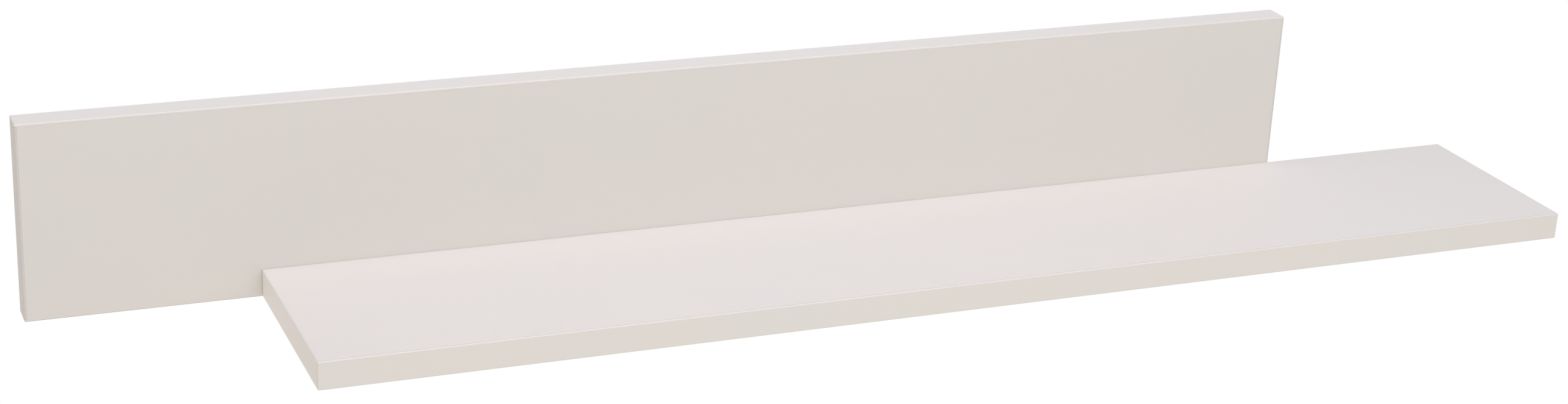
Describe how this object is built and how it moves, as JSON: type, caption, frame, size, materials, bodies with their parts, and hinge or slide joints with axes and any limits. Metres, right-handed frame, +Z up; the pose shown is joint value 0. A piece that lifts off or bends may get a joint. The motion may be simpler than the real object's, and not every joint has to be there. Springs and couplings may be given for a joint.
{
  "type": "floating wall shelf",
  "caption": "Floating wall shelf: a long upright back panel carries a horizontal shelf board of the same stock, shifted sideways past its end and hung on hidden keyhole plates.",
  "frame": {"origin": "centre of the back panel's rear face, which lies on the wall", "axes": "+X along the boards towards the overhanging end, +Y to the wall, +Z up; the front faces -Y"},
  "size_m": [1.4, 0.225, 0.175],
  "materials": {
    "cream_facing": "satin",
    "cream_edging": "satin",
    "board_core": "raw particle board",
    "beech": "raw",
    "zinc_steel": "zinc plated"
  },
  "bodies": {
    "root": {"panel_core": "board_core", "panel_front_facing": "cream_facing", "panel_rear_facing": "cream_facing", "panel_top_edging": "cream_edging", "panel_bottom_edging": "cream_edging", "panel_left_edging": "cream_edging", "panel_right_edging": "cream_edging", "shelf_core": "board_core", "shelf_top_facing": "cream_facing", "shelf_underside_facing": "cream_facing", "shelf_front_edging": "cream_edging", "shelf_rear_edging": "cream_edging", "shelf_left_edging": "cream_edging", "shelf_right_edging": "cream_edging", "beech_dowels": "beech", "assembly_screws": "zinc_steel", "left_hanger_plate": "zinc_steel", "right_hanger_plate": "zinc_steel", "hanger_screws": "zinc_steel"}
  },
  "joints": []
}
